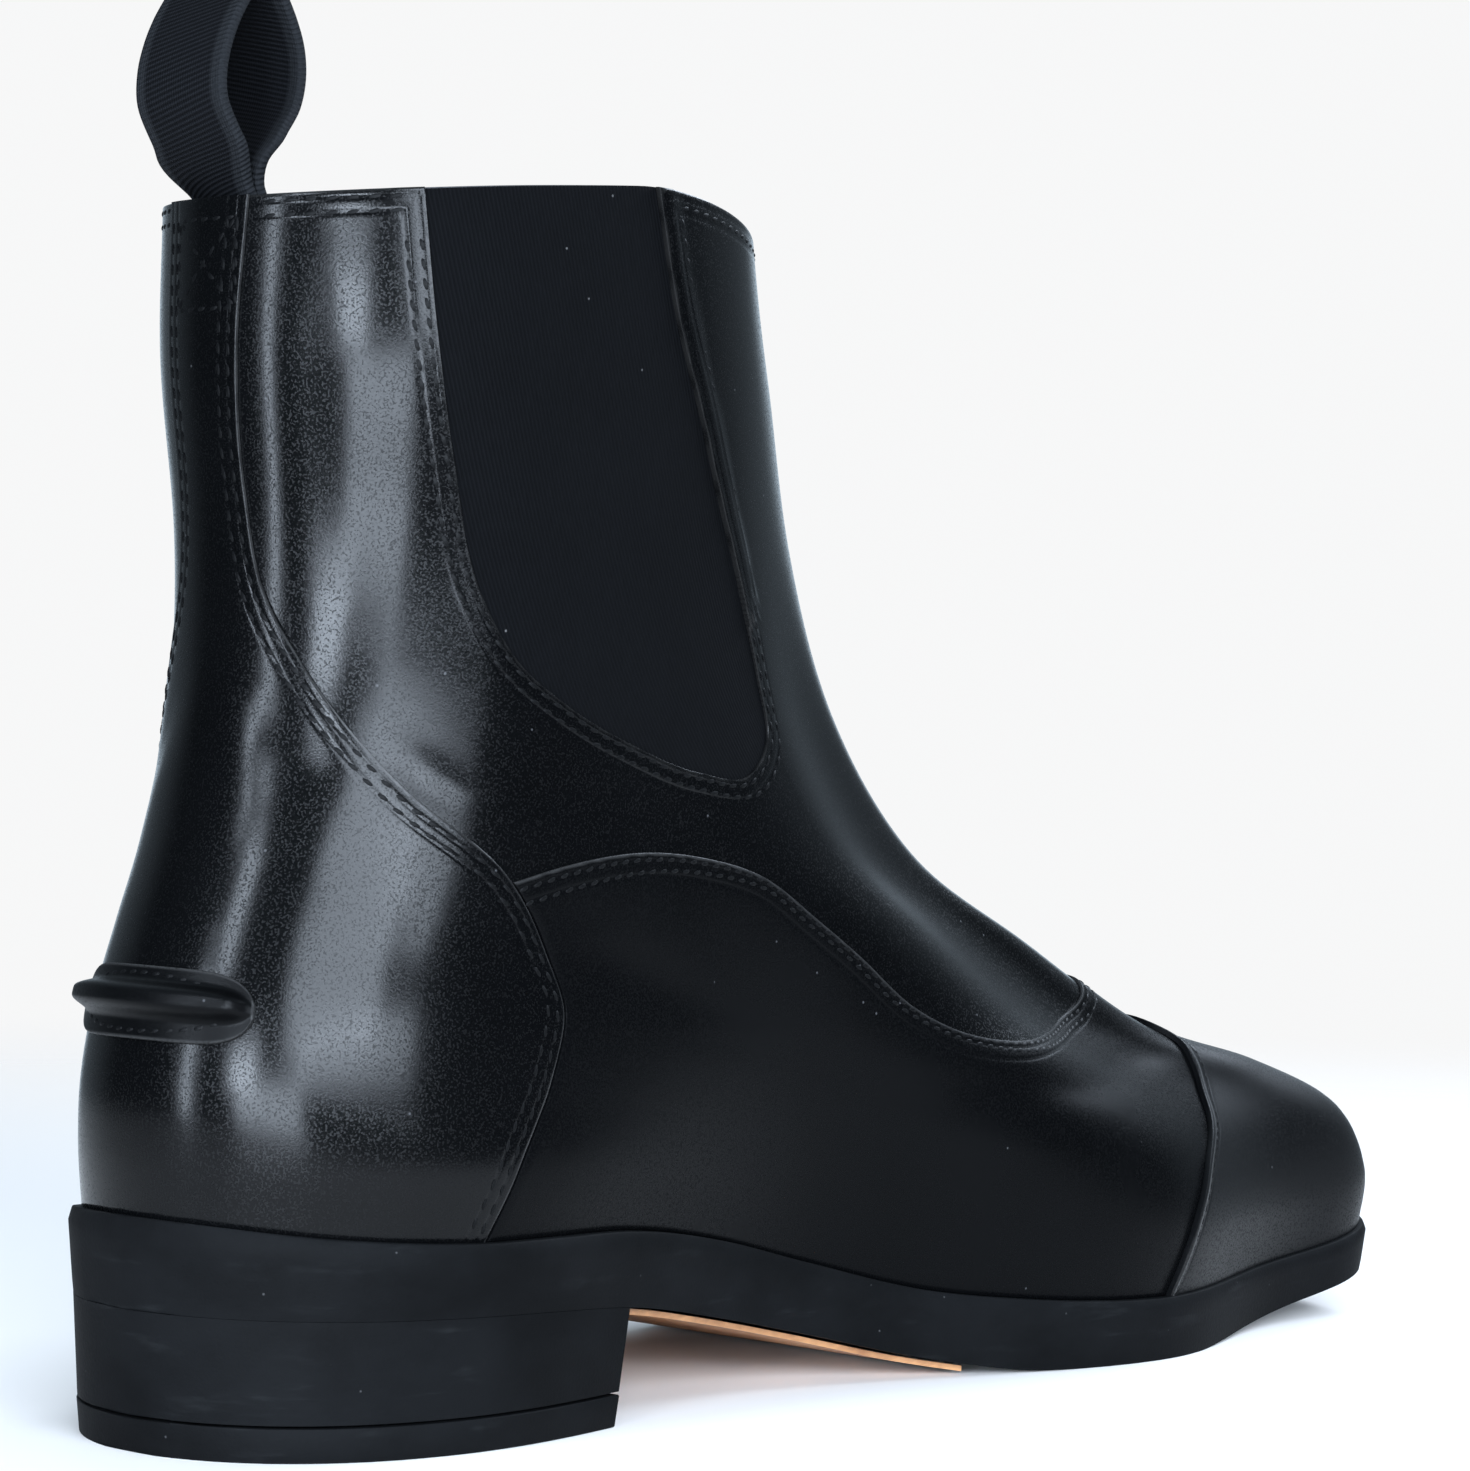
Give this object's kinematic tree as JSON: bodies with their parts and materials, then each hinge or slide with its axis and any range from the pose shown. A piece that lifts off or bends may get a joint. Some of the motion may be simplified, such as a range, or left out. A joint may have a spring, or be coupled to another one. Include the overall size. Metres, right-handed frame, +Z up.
{
  "type": "jodhpur boot",
  "caption": "Left ankle-high leather jodhpur boot with elastic sides, front zip, toe cap, spur rest, pull loop, arched rubber sole and stacked heel.",
  "frame": {"origin": "on the floor, under the middle of the boot's outline", "axes": "+X towards the toe, +Y towards the outer side of the left foot, +Z up"},
  "size_m": [0.2844, 0.088, 0.2138],
  "materials": {
    "black_leather": "semi-gloss, fine grain",
    "lining_leather": "matte lining",
    "elastic": "matte ribbed weave",
    "webbing": "matte twill webbing",
    "zip_metal": "dark nickel",
    "sole_rubber": "matte, dusty",
    "tan_leather": "satin tan"
  },
  "bodies": {
    "boot": {"upper": "lining_leather", "toe_cap": "black_leather", "vamp": "black_leather", "quarter_inner": "black_leather", "quarter_outer": "black_leather", "counter": "black_leather", "spur_rest": "black_leather", "gore_inner": "elastic", "gore_outer": "elastic", "zip_tape": "elastic", "pull_loop": "webbing", "zip_chain": "zip_metal", "zip_slider": "zip_metal", "outsole": "sole_rubber", "heel_block": "sole_rubber", "heel_top_piece": "sole_rubber", "waist_panel": "tan_leather", "insole": "lining_leather"},
    "pull_tab": {"zip_pull": "zip_metal"}
  },
  "joints": [
    {"name": "pull_tab_swing", "type": "hinge", "parent": "boot", "child": "pull_tab", "pos_m": [-0.02196, -0.00077, 0.16643], "axis": [0, -1, 0], "range_deg": [0, 150]}
  ]
}
